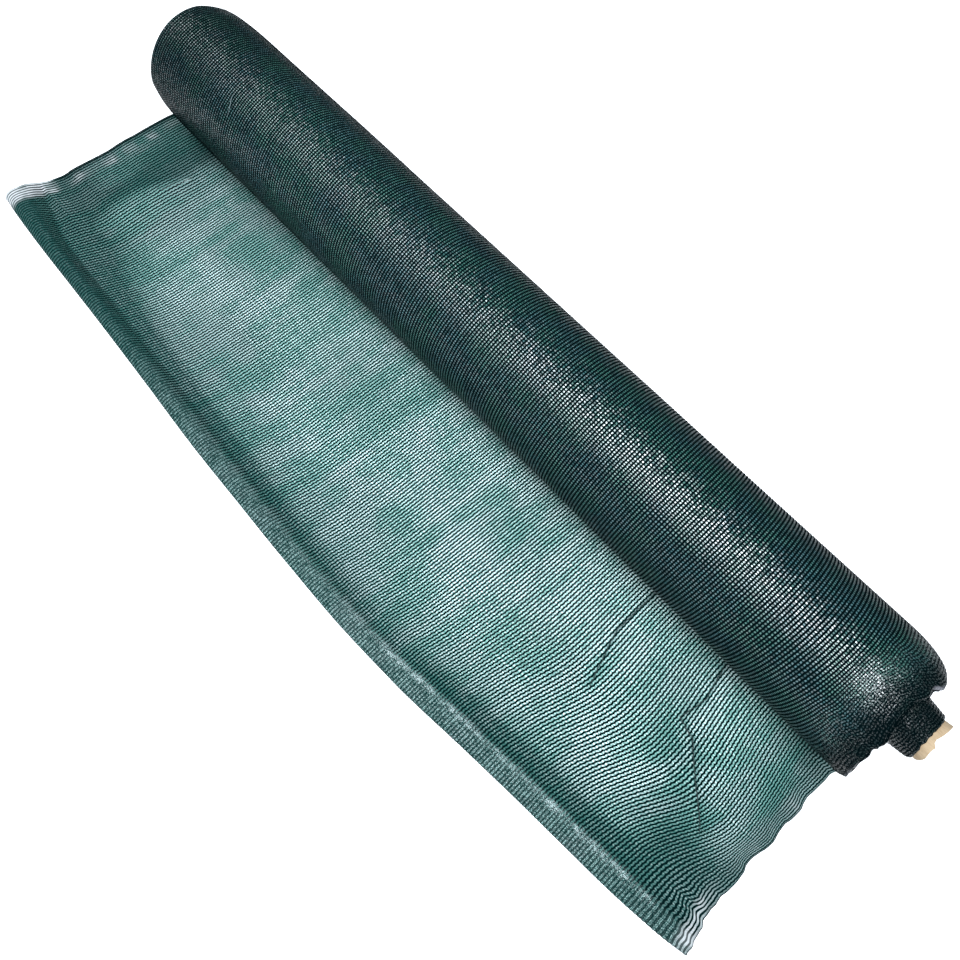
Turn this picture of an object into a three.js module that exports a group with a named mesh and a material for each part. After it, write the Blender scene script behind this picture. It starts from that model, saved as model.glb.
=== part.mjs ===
import * as THREE from 'three';

// Roll of knitted mesh on a cardboard tube, with its last turn pulled out along the floor.
// Millimetres, +Z up, origin on the floor under the middle of the roll. The roll's axis runs along X,
// and the loose net leaves from under the roll towards -Y. The near end is at +X. Angles run round the
// roll as the net is wound: 0 at the floor, 90 behind, 180 on top, 270 in front.

const netWidth = 1200;        // from selvedge to selvedge, and the length of the wound roll
const rollRadius = 82.2;      // of the wound net, half-way along its last turn
const netThickness = 1.5;     // of the loose net
const clearance = 0.3;        // between pieces that touch
const flatHalfWidth = 12;     // half of the flat on which the roll rests
const farFace = -netWidth / 2;

// The tube's axis lies a little behind and above the roll's own. The collar is the inner turns, which
// have slid out of the near end, and the recess is the hollow that they left at the far end.
const tube = { y: 9.5, z: 85, outerRadius: 25, wall: 3, farEnd: -597 };
const collar = { root: 587, footRadius: 46, rootRadius: 34, waistRadius: 32.6, endRadius: 29.3, lip: 2 };
const recess = { depth: 34, radius: 34, rim: 4, edge: 1 };

// The last turn steps down by its own thickness where the loose net leaves from under the roll.
const turnStep = netThickness + 2 * clearance;
const axisHeight = Math.sqrt((rollRadius + turnStep / 2) ** 2 - flatHalfWidth ** 2);

// How finely the pieces are cut: columns round the roll, rings along it with those of its two
// shoulders given by their turn in degrees, and the loose net's stations across and steps along, up to
// the fold and round it.
const rollColumns = 48;
const barrelRings = 17;
const farTurns = [0, 24, 46, 68, 90];
const nearTurns = [0, 22, 42, 60, 76, 90];
const tubeRings = [-200, 200];
const netStations = 46;
const fieldSteps = 14;
const foldSteps = 13;

// Where the wound net starts to draw in towards its near end, and where its uneven rim is: a place
// along the roll and the radius left there. Behind its top the rim runs out in a loose flap.
const nearRim = [
  { angle: 0, start: 592, end: 598, radius: 78 },
  { angle: 60, start: 575, end: 597, radius: 76 },
  { angle: 100, start: 552, end: 598, radius: 67 },
  { angle: 128, start: 547, end: 599, radius: 64 },
  { angle: 150, start: 547, end: 594, radius: 68 },
  { angle: 160, start: 548, end: 593, radius: 70 },
  { angle: 167, start: 548, end: 590, radius: 72 },
  { angle: 174, start: 547, end: 583, radius: 75 },
  { angle: 182, start: 546, end: 583, radius: 75 },
  { angle: 192, start: 546, end: 577, radius: 76 },
  { angle: 199, start: 546, end: 572, radius: 79 },
  { angle: 208, start: 546, end: 573, radius: 79 },
  { angle: 223, start: 550, end: 578, radius: 79 },
  { angle: 234, start: 556, end: 584, radius: 79 },
  { angle: 243, start: 562, end: 582, radius: 80 },
  { angle: 250, start: 568, end: 586, radius: 79 },
  { angle: 264, start: 582, end: 593, radius: 81 },
  { angle: 280, start: 594, end: 600, radius: 82 },
  { angle: 287, start: 596, end: 601, radius: 82 },
  { angle: 297, start: 594, end: 598, radius: 82 },
];

// The far end is square, drawn in a little behind its top and low in front, over a length from its rim.
const farRim = [
  { angle: 0, radius: 80, length: 20 },
  { angle: 60, radius: 79, length: 40 },
  { angle: 105, radius: 77, length: 75 },
  { angle: 150, radius: 76, length: 75 },
  { angle: 180, radius: 80, length: 40 },
  { angle: 215, radius: 82, length: 20 },
  { angle: 262, radius: 81.5, length: 24 },
  { angle: 285, radius: 77.5, length: 60 },
  { angle: 320, radius: 77.5, length: 50 },
];

// The inner turns that stand out of the near end, and how far they reach.
const collarEdge = [
  { angle: 0, end: 633 },
  { angle: 130, end: 630 },
  { angle: 165, end: 628 },
  { angle: 205, end: 626 },
  { angle: 225, end: 627 },
  { angle: 245, end: 630 },
  { angle: 275, end: 634 },
];

// The torn end of the cardboard: two flaps with a nick between them, bent out or in.
const tubeTear = [
  { angle: 0, end: 641, bend: 0.6 },
  { angle: 45, end: 643, bend: 0.4 },
  { angle: 90, end: 644.5, bend: 1.5 },
  { angle: 126, end: 643, bend: 2.2 },
  { angle: 148, end: 640, bend: 1.6 },
  { angle: 170, end: 637, bend: 1.1 },
  { angle: 190, end: 634.5, bend: 0.9 },
  { angle: 204, end: 632.5, bend: 0.9 },
  { angle: 210, end: 634.5, bend: -0.8 },
  { angle: 218, end: 639, bend: -0.8 },
  { angle: 228, end: 638, bend: -0.4 },
  { angle: 240, end: 639.5, bend: 0 },
  { angle: 258, end: 642.5, bend: 0 },
  { angle: 276, end: 643, bend: -0.4 },
  { angle: 310, end: 643.5, bend: 0 },
];

// Broad bumps and hollows in the wound net, each centred on a place along the roll and an angle round it.
const rollSwells = [
  { x: -470, angle: 205, reach: 120, turn: 50, height: -0.9 },
  { x: -330, angle: 150, reach: 150, turn: 60, height: 0.7 },
  { x: -180, angle: 240, reach: 140, turn: 45, height: 0.9 },
  { x: 20, angle: 190, reach: 170, turn: 55, height: -0.7 },
  { x: 170, angle: 95, reach: 160, turn: 50, height: 0.8 },
  { x: 300, angle: 235, reach: 130, turn: 45, height: 0.8 },
  { x: 440, angle: 180, reach: 110, turn: 60, height: -0.6 },
];
const rollFade = { from: 20, to: 60 };    // degrees up from the floor over which they set in

// The loose net's far selvedge from the roll out to the fold: its place, and its height off the floor.
const farSelvedge = [
  { y: -12, x: -604, lift: 0 },
  { y: -54, x: -628, lift: 6.5 },
  { y: -94, x: -623, lift: 6 },
  { y: -134, x: -617, lift: 5 },
  { y: -166, x: -615, lift: 4 },
  { y: -197, x: -613, lift: 3.2 },
  { y: -234, x: -609, lift: 2.8 },
  { y: -257, x: -609, lift: 4 },
  { y: -270, x: -611, lift: 3 },
  { y: -296, x: -608, lift: 0 },
  { y: -320, x: -604, lift: 0 },
];

// Its near selvedge, which waves in and out.
const nearSelvedge = [
  { y: -12, x: 607, lift: 0 },
  { y: -48, x: 619, lift: 1.5 },
  { y: -58, x: 615, lift: 0.6 },
  { y: -85, x: 612, lift: 1 },
  { y: -125, x: 610, lift: 0.4 },
  { y: -152, x: 607, lift: 1.4 },
  { y: -176, x: 605, lift: 1.8 },
  { y: -203, x: 598, lift: 0.6 },
  { y: -255, x: 597, lift: 1.2 },
  { y: -280, x: 595, lift: 1 },
  { y: -293, x: 596, lift: 1 },
  { y: -312, x: 600, lift: 0 },
];
const selvedgeReach = 150;    // how far in from a selvedge its waves and lift are felt

// The free edge, folded under: where the fold's nose and the groove behind it are, and its height.
const freeFold = [
  { x: -606, edge: -319, groove: -268, height: 16 },
  { x: -560, edge: -323, groove: -280, height: 16 },
  { x: -495, edge: -327, groove: -296, height: 15 },
  { x: -375, edge: -333, groove: -303, height: 13 },
  { x: -260, edge: -340, groove: -309, height: 12 },
  { x: -153, edge: -347, groove: -314, height: 11 },
  { x: -54, edge: -351, groove: -319, height: 10.5 },
  { x: 38, edge: -354, groove: -322, height: 10 },
  { x: 124, edge: -355, groove: -324, height: 10 },
  { x: 202, edge: -353, groove: -321, height: 9.5 },
  { x: 273, edge: -348, groove: -313, height: 9 },
  { x: 341, edge: -341, groove: -307, height: 8 },
  { x: 406, edge: -336, groove: -300, height: 7.5 },
  { x: 470, edge: -331, groove: -296, height: 7 },
  { x: 531, edge: -326, groove: -291, height: 6.5 },
  { x: 606, edge: -311, groove: -283, height: 6 },
];

// The fold's section from the groove over the ridge and its nose, and back under it along the floor:
// how far in front of the groove, and how high, as shares of the fold's width and height.
const foldSection = [
  { forward: 0, rise: 0 },
  { forward: 0.22, rise: 0.55 },
  { forward: 0.5, rise: 1 },
  { forward: 0.8, rise: 0.86 },
  { forward: 0.98, rise: 0.38 },
  { forward: 0.9, rise: 0 },
  { forward: 0.36, rise: 0 },
];

// Where the loose net stands off the floor in broad, shallow swells.
const netSwells = [
  { x: -500, y: -170, reach: 70, depth: 90, height: 4.5 },
  { x: -360, y: -110, reach: 90, depth: 70, height: 3 },
  { x: -250, y: -235, reach: 110, depth: 60, height: 3.5 },
  { x: -90, y: -140, reach: 90, depth: 80, height: 2.5 },
  { x: 60, y: -250, reach: 120, depth: 55, height: 3.5 },
  { x: 180, y: -120, reach: 80, depth: 70, height: 3 },
  { x: 300, y: -215, reach: 80, depth: 65, height: 3.5 },
  { x: 405, y: -130, reach: 45, depth: 90, height: 4.5 },
  { x: 500, y: -215, reach: 50, depth: 60, height: 5 },
  { x: 545, y: -110, reach: 40, depth: 70, height: 4 },
];
// How far from the roll they set in, and how far before the groove they end.
const netFade = { from: 20, to: 60, groove: 40 };

const radians = THREE.MathUtils.degToRad;
const blend = THREE.MathUtils.lerp;
const ease = THREE.MathUtils.smoothstep;

// A table's row at any place along its first column, between its own rows. A whole turn closes on itself.
function readTable(rows, key, at, period = 0) {
  const first = rows[0];
  const list = period ? [...rows, { ...first, [key]: first[key] + period }] : rows;
  const rising = list.at(-1)[key] > first[key];
  const place = period ? THREE.MathUtils.euclideanModulo(at - first[key], period) + first[key] : at;
  let i = 1;
  while (i < list.length - 1 && (rising ? list[i][key] < place : list[i][key] > place)) i += 1;
  const [a, b] = [list[i - 1], list[i]];
  const share = THREE.MathUtils.clamp((place - a[key]) / (b[key] - a[key]), 0, 1);
  return Object.fromEntries(Object.keys(a).map((name) => [name, blend(a[name], b[name], share)]));
}

// One hump of a swell: 1 at its middle, 0 from its reach outwards.
function hump(distance, reach) {
  return Math.abs(distance) < reach ? (1 + Math.cos((Math.PI * distance) / reach)) / 2 : 0;
}

function pointAt(x, radius, angle, y = 0, z = axisHeight) {
  const a = radians(angle);
  return new THREE.Vector3(x, y + radius * Math.sin(a), z - radius * Math.cos(a));
}

function geometryFrom(points, faces) {
  const geometry = new THREE.BufferGeometry();
  const places = points.flatMap((point) => point.toArray());
  geometry.setAttribute('position', new THREE.Float32BufferAttribute(places, 3));
  geometry.setIndex(faces);
  geometry.computeVertexNormals();
  return geometry;
}

// A solid between rings of points. The last ring joins the first one again, like a wall round a bore.
function ringSolid(rings) {
  const columns = rings[0].length;
  const faces = [];
  rings.forEach((ring, i) => {
    const here = i * columns;
    const next = ((i + 1) % rings.length) * columns;
    ring.forEach((_, j) => {
      const k = (j + 1) % columns;
      faces.push(here + j, here + k, next + j, here + k, next + k, next + j);
    });
  });
  return geometryFrom(rings.flat(), faces);
}

// A sheet of one thickness on both sides of a grid of points, closed round its edge. It stays above
// the floor.
function sheetSolid(grid, thickness) {
  const rows = grid.length;
  const columns = grid[0].length;
  const along = new THREE.Vector3();
  const across = new THREE.Vector3();
  const sides = [1, -1].map((side) => grid.map((row, i) => row.map((point, j) => {
    along.subVectors(grid[Math.min(i + 1, rows - 1)][j], grid[Math.max(i - 1, 0)][j]);
    across.subVectors(row[Math.min(j + 1, columns - 1)], row[Math.max(j - 1, 0)]);
    const moved = new THREE.Vector3().crossVectors(across, along);
    moved.setLength((side * thickness) / 2).add(point);
    moved.z = Math.max(moved.z, 0);
    return moved;
  })));
  const back = rows * columns;
  const at = (i, j) => i * columns + j;
  const faces = [];
  for (let i = 0; i < rows - 1; i += 1) {
    for (let j = 0; j < columns - 1; j += 1) {
      const [a, b, c, d] = [at(i, j), at(i + 1, j), at(i + 1, j + 1), at(i, j + 1)];
      faces.push(a, c, b, a, d, c);
      faces.push(back + a, back + b, back + c, back + a, back + c, back + d);
    }
  }
  const wall = (a, b) => faces.push(a, b, back + b, a, back + b, back + a);
  for (let i = 0; i < rows - 1; i += 1) {
    wall(at(i, 0), at(i + 1, 0));
    wall(at(i + 1, columns - 1), at(i, columns - 1));
  }
  for (let j = 0; j < columns - 1; j += 1) {
    wall(at(0, j + 1), at(0, j));
    wall(at(rows - 1, j), at(rows - 1, j + 1));
  }
  return geometryFrom(sides.flat(2), faces);
}

// The columns round the roll: three on its flat, then the last turn from behind, over the top and down
// the front, to the step that leaves room for the loose net.
function rollOutline() {
  const flatAngle = THREE.MathUtils.radToDeg(Math.atan(flatHalfWidth / axisHeight));
  const columns = [-flatAngle, 0, flatAngle].map((angle) => ({
    angle,
    radius: axisHeight / Math.cos(radians(angle)),
  }));
  const pitch = 360 / rollColumns;
  for (let angle = 2 * pitch; angle < 360 - 1.2 * flatAngle; angle += pitch) {
    columns.push({ angle, radius: rollRadius + turnStep * (0.5 - angle / 360) });
  }
  const innerRadius = rollRadius - turnStep / 2;
  const stepAngle = 360 - THREE.MathUtils.radToDeg(Math.asin((flatHalfWidth + clearance) / innerRadius));
  columns.push({ angle: stepAngle, radius: innerRadius });
  return columns;
}

function swellOnRoll(x, angle) {
  const offFloor = ease(Math.min(angle, 360 - angle), rollFade.from, rollFade.to);
  const sum = rollSwells.reduce(
    (total, s) => total + s.height * hump(x - s.x, s.reach) * hump(angle - s.angle, s.turn),
    0,
  );
  return sum * offFloor;
}

// How far the collar of inner turns stands out of the near end.
function collarReach(angle) {
  return readTable(collarEdge, 'angle', angle, 360).end;
}

// A ring of points round the tube's axis. Its place along the roll and its radius may change round it.
function coreRing(angles, x, radius) {
  const read = (value, angle) => (typeof value === 'function' ? value(angle) : value);
  return angles.map((angle) => pointAt(read(x, angle), read(radius, angle), angle, tube.y, tube.z));
}

function woundNet() {
  const outline = rollOutline();
  const rings = [];

  // the barrel, from the far shoulder to the near one
  const farAt = (angle) => readTable(farRim, 'angle', angle, 360);
  farTurns.forEach((turn) => {
    const t = radians(turn);
    rings.push(outline.map((c) => {
      const far = farAt(c.angle);
      const x = farFace + far.length * (1 - Math.cos(t));
      return pointAt(x, blend(far.radius, c.radius, Math.sin(t)), c.angle);
    }));
  });
  const nearAt = (angle) => readTable(nearRim, 'angle', angle, 360);
  for (let i = 1; i < barrelRings; i += 1) {
    rings.push(outline.map((c) => {
      const x = blend(farFace + farAt(c.angle).length, nearAt(c.angle).start, i / barrelRings);
      return pointAt(x, c.radius + swellOnRoll(x, c.angle), c.angle);
    }));
  }
  nearTurns.forEach((turn) => {
    const t = radians(turn);
    rings.push(outline.map((c) => {
      const near = nearAt(c.angle);
      const x = blend(near.start, near.end, Math.sin(t));
      return pointAt(x, blend(near.radius, c.radius, Math.cos(t)), c.angle);
    }));
  });

  // the collar of inner turns, then the bore for the tube, and the recess at the far end
  const angles = outline.map((c) => c.angle);
  const boreRadius = tube.outerRadius + clearance;
  const recessFloor = farFace + recess.depth;
  const waist = (angle) => blend(collar.root, collarReach(angle), 0.5);
  const lip = (angle) => collarReach(angle) - collar.lip;
  rings.push(
    coreRing(angles, collar.root, collar.footRadius),
    coreRing(angles, collar.root, collar.rootRadius),
    coreRing(angles, waist, collar.waistRadius),
    coreRing(angles, lip, collar.endRadius),
    coreRing(angles, collarReach, collar.endRadius - collar.lip / 2),
    coreRing(angles, collarReach, boreRadius),
    ...tubeRings.toReversed().map((x) => coreRing(angles, x, boreRadius)),
    coreRing(angles, recessFloor, boreRadius),
    coreRing(angles, recessFloor + recess.edge, recess.radius - recess.edge),
    coreRing(angles, farFace + recess.rim, recess.radius),
  );
  return ringSolid(rings);
}

function coreTube() {
  const angles = Array.from({ length: rollColumns }, (_, i) => (i * 360) / rollColumns);
  const innerRadius = tube.outerRadius - tube.wall;
  const tearAt = (angle) => readTable(tubeTear, 'angle', angle, 360);
  const tornEnd = (angle) => tearAt(angle).end;
  const bare = [tube.farEnd, ...tubeRings];
  return ringSolid([
    ...bare.map((x) => coreRing(angles, x, tube.outerRadius)),
    coreRing(angles, collarReach, tube.outerRadius),
    coreRing(angles, tornEnd, (angle) => tube.outerRadius + tearAt(angle).bend),
    coreRing(angles, tornEnd, (angle) => innerRadius + tearAt(angle).bend),
    coreRing(angles, collarReach, innerRadius),
    ...bare.toReversed().map((x) => coreRing(angles, x, innerRadius)),
  ]);
}

// The lowest that the middle of the net can lie.
const lying = netThickness / 2;

function swellOnNet(x, y, groove) {
  const sum = netSwells.reduce(
    (total, s) => total + s.height * hump(x - s.x, s.reach) * hump(y - s.y, s.depth),
    0,
  );
  return sum * ease(-y, netFade.from, netFade.to) * (1 - ease(-y, -groove - netFade.groove, -groove));
}

// A point of the loose net that lay at a place across its width before the selvedges were pulled about.
function netPoint(across, y, height) {
  const fromFar = across + netWidth / 2;
  const fromNear = netWidth / 2 - across;
  const far = readTable(farSelvedge, 'y', y);
  const near = readTable(nearSelvedge, 'y', y);
  const farShare = 1 - ease(fromFar, 0, selvedgeReach);
  const nearShare = 1 - ease(fromNear, 0, selvedgeReach);
  const x = across + farShare * (far.x + netWidth / 2) + nearShare * (near.x - netWidth / 2);
  return new THREE.Vector3(x, y, height + farShare * far.lift + nearShare * near.lift);
}

function looseNet() {
  const start = -flatHalfWidth - 2 * clearance;
  const grid = [];
  for (let i = 0; i <= netStations; i += 1) {
    const across = blend(-netWidth / 2, netWidth / 2, i / netStations);
    const fold = readTable(freeFold, 'x', across);
    const width = fold.groove - fold.edge;
    const top = fold.height - lying;
    const row = [];
    for (let j = 0; j < fieldSteps; j += 1) {
      const y = blend(start, fold.groove, j / fieldSteps);
      row.push(netPoint(across, y, lying + swellOnNet(across, y, fold.groove)));
    }
    const corners = foldSection.map((c) => new THREE.Vector3(
      0,
      fold.groove - c.forward * width,
      blend(lying, top, c.rise),
    ));
    const section = new THREE.CatmullRomCurve3(corners, false, 'centripetal');
    for (let j = 0; j <= foldSteps; j += 1) {
      const p = section.getPoint(j / foldSteps);
      row.push(netPoint(across, p.y, Math.max(p.z, lying)));
    }
    grid.push(row);
  }
  return sheetSolid(grid, netThickness);
}

const darkNet = new THREE.MeshStandardMaterial({ color: 0x14302e, roughness: 0.45, metalness: 0 });
const paleNet = new THREE.MeshStandardMaterial({ color: 0x4f8f82, roughness: 0.55, metalness: 0 });
const cardboard = new THREE.MeshStandardMaterial({ color: 0xc8aa7c, roughness: 0.9, metalness: 0 });

function piece(name, geometry, material) {
  const mesh = new THREE.Mesh(geometry, material);
  mesh.name = name;
  return mesh;
}

const roll = new THREE.Group();
roll.add(
  piece('wound_net', woundNet(), darkNet),
  piece('core_tube', coreTube(), cardboard),
  piece('loose_net', looseNet(), paleNet),
);

export default roll;
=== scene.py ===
import math

import bpy
import numpy as np
from mathutils import Matrix, Vector


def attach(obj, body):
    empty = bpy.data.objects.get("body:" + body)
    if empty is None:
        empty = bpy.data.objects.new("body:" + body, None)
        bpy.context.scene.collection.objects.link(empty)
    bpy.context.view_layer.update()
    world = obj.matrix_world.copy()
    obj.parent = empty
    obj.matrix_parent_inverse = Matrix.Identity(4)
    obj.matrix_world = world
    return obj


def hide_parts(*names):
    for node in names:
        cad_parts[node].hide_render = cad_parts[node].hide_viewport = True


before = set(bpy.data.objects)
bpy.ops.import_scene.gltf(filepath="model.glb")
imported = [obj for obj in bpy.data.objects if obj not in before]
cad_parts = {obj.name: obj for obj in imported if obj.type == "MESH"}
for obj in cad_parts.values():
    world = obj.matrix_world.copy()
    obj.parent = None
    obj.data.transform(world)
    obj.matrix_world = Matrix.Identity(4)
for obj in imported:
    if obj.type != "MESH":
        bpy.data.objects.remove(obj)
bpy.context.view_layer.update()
bpy.ops.object.select_all(action="DESELECT")
print("frame loaded")

# Places below are in millimetres, as on a drawing. The roll's axis runs along X, its near end at +X, and the
# loose net leaves from under it towards -Y. Angles run round the roll: 0 at the floor, 90 behind, 180 on top.
mm = 0.001
scene = bpy.context.scene

# The camera stands where the photo was taken from.
cameraSet = {
    "place": (0.287908, -0.457450, 0.789348),
    "right": (0.68492165, 0.71296254, 0.15022235),
    "down": (0.69667848, -0.58045515, -0.42155773),
    "forward": (-0.21335753, 0.39339069, -0.89427195),
    "lens": 26.614,
    "sensor": 36.0,
}


def addCamera(c):
    data = bpy.data.cameras.new("photoCamera")
    data.lens, data.sensor_width = c["lens"], c["sensor"]
    data.clip_start, data.clip_end = 0.02, 50
    camera = bpy.data.objects.new("photoCamera", data)
    axes = Matrix((c["right"], -Vector(c["down"]), -Vector(c["forward"]))).transposed()
    camera.matrix_world = Matrix.Translation(c["place"]) @ axes.to_4x4()
    scene.collection.objects.link(camera)
    scene.camera = camera


addCamera(cameraSet)

# The knit's own sizes, shared by every piece of net.
knit = {
    "width": 1200.0,      # selvedge to selvedge
    "wales": 296,         # chains of loops along the net
    "stitch": 3.15,       # one loop of a chain
    "ridge": 0.32,        # how far a chain stands up from the net's middle
    "valley": 0.22,       # how far the tapes between chains lie under it
}
halfNet = knit["width"] / 2
rollSet = {
    "radius": 82.2,
    "turnStep": 2.1,
    "flatHalfWidth": 12.0,
    "farFace": -600.0,
    "rows": 132,
    "barrelPoints": 60,
    "shoulderPoints": 16,
    "stitches": 168,      # round the roll
}
axisHeight = math.sqrt((rollSet["radius"] + rollSet["turnStep"] / 2) ** 2 - rollSet["flatHalfWidth"] ** 2)
tubeAxis = {"y": 9.5, "z": 85.0}

nearRim = {
    "angle": (
        0, 60, 100, 128, 150, 160, 167, 174, 182, 192, 199, 208, 223, 234, 243, 250, 264, 280,
        287, 297,
    ),
    "start": (
        592, 575, 552, 547, 547, 548, 548, 547, 546, 546, 546, 546, 550, 556, 562, 568, 582,
        594, 596, 594,
    ),
    "end": (
        598, 597, 598, 599, 594, 593, 590, 583, 583, 577, 572, 573, 578, 584, 582, 586, 593,
        600, 601, 598,
    ),
    "radius": (78, 76, 67, 64, 68, 70, 72, 75, 75, 76, 79, 79, 79, 79, 80, 79, 81, 82, 82, 82),
}
# Small ragged teeth in the near rim's front, out or in from its line.
rimTeeth = {
    "angle": (
        0, 174, 176, 180, 228, 233, 236.5, 240, 243, 247, 250, 256, 262, 268, 276, 281, 286,
        290, 296, 360,
    ),
    "out": (
        0, 1.5, -1.6, 0, -0.4, -0.6, 1.2, -1.4, -0.8, 1.4, 0.8, -1.6, -1.6, -1.4, 0.4, 1.4,
        -1.4, -1.2, 0, 0,
    ),
    "reach": (560, 582),
}
farRim = {
    "angle": (0, 60, 105, 150, 180, 215, 262, 285, 320),
    "radius": (80, 79, 77, 76, 80, 82, 81.5, 77.5, 77.5),
    "length": (20, 40, 75, 75, 40, 20, 24, 60, 50),
}
collarEdge = {
    "angle": (0, 130, 165, 205, 225, 245, 275),
    "end": (633, 630, 628, 626, 627, 630, 634),
}
rollSwells = (
    # place along, angle, reach along, reach round, height
    (-470, 205, 120, 50, -0.9),
    (-330, 150, 150, 60, 0.7),
    (-180, 240, 140, 45, 0.9),
    (20, 190, 170, 55, -0.7),
    (170, 95, 160, 50, 0.8),
    (300, 235, 130, 45, 0.8),
    (440, 180, 110, 60, -0.6),
)


def ease(value, low, high):
    t = np.clip((value - low) / (high - low), 0, 1)
    return t * t * (3 - 2 * t)


def hump(distance, reach):
    return np.where(np.abs(distance) < reach, (1 + np.cos(np.pi * distance / reach)) / 2, 0)


def fadeIn(value, amount, low, high):
    return amount * ease(value, low, high)


def fadeOut(value, amount, low, high):
    return amount * (1 - ease(value, low, high))


def band(value, amount, middle, reach):
    return amount * hump(value - middle, reach)


def bell(value, width):
    return np.exp(-((value / width) ** 2))


def curveThrough(places, values, at, period=None):
    # a smooth curve through a table's rows that doesn't overshoot them
    x, y = np.array(places, float), np.array(values, float)
    at = np.asarray(at, float)
    if period:
        x = np.concatenate((x[-2:] - period, x, x[:2] + period))
        y = np.concatenate((y[-2:], y, y[:2]))
        at = np.mod(at - places[0], period) + places[0]
    step = np.diff(x)
    slope = np.diff(y) / step
    before, after = slope[:-1], slope[1:]
    inner = np.where(before * after > 0, 2 * before * after / (before + after + 1e-12), 0)
    tangent = np.concatenate(([slope[0]], inner, [slope[-1]]))
    i = np.clip(np.searchsorted(x, at, side="right") - 1, 0, len(step) - 1)
    t = np.clip((at - x[i]) / step[i], 0, 1)
    return (
        (2 * t**3 - 3 * t**2 + 1) * y[i]
        + (t**3 - 2 * t**2 + t) * step[i] * tangent[i]
        + (3 * t**2 - 2 * t**3) * y[i + 1]
        + (t**3 - t**2) * step[i] * tangent[i + 1]
    )


def readTable(table, key, at, period=None):
    return {name: curveThrough(table[key], table[name], at, period) for name in table if name != key}


def spread(points, counts):
    # new points at even steps along each row of points, from shares of its length
    step = np.linalg.norm(np.diff(points, axis=1), axis=2)
    length = np.concatenate((np.zeros((len(points), 1)), np.cumsum(step, axis=1)), axis=1)
    out = np.empty((len(points), len(counts), points.shape[2]))
    for i, row in enumerate(points):
        at = counts * length[i, -1]
        for k in range(points.shape[2]):
            out[i, :, k] = np.interp(at, length[i], row[:, k])
    return out, length[:, -1]


def gridNormals(points, closed=False):
    if closed:
        along = np.roll(points, -1, axis=0) - np.roll(points, 1, axis=0)
    else:
        along = np.gradient(points, axis=0)
    across = np.gradient(points, axis=1)
    normal = np.cross(across, along)
    return normal / np.maximum(np.linalg.norm(normal, axis=2, keepdims=True), 1e-9)


def gridPiece(name, points, closed=False, flip=False, shares=None):
    # a piece from rows of points in millimetres, with a UV map of its own from the rows and columns
    rows, columns = points.shape[:2]
    index = np.arange(rows * columns).reshape(rows, columns)
    if closed:
        index = np.vstack((index, index[:1]))
    a, b, c, d = index[:-1, :-1], index[:-1, 1:], index[1:, 1:], index[1:, :-1]
    quads = np.stack((a, d, c, b) if flip else (a, b, c, d), axis=-1).reshape(-1, 4)
    mesh = bpy.data.meshes.new(name)
    mesh.from_pydata((points.reshape(-1, 3) * mm).tolist(), [], quads.tolist())
    u = np.linspace(0, 1, columns) if shares is None else shares
    v = np.linspace(0, 1, index.shape[0])
    corners = np.stack(np.meshgrid(u, v), axis=-1)
    i, j = np.meshgrid(np.arange(index.shape[0] - 1), np.arange(columns - 1), indexing="ij")
    turn = ((0, 0), (1, 0), (1, 1), (0, 1)) if flip else ((0, 0), (0, 1), (1, 1), (1, 0))
    uv = np.stack([corners[i + di, j + dj] for di, dj in turn], axis=2)
    mesh.uv_layers.new(name="OFBake").data.foreach_set("uv", uv.reshape(-1).astype(np.float32))
    mesh.polygons.foreach_set("use_smooth", [True] * len(mesh.polygons))
    mesh.update()
    piece = bpy.data.objects.new(name, mesh)
    scene.collection.objects.link(piece)
    return piece


def addAttribute(piece, name, values):
    attribute = piece.data.attributes.new(name, "FLOAT", "POINT")
    attribute.data.foreach_set("value", np.asarray(values, np.float32).reshape(-1))


def ribs(acrossWales):
    # the chains stand up in ridges, one a wale
    wave = (1 + np.cos(2 * np.pi * acrossWales)) / 2
    return wave * (knit["ridge"] + knit["valley"]) - knit["valley"]


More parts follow.
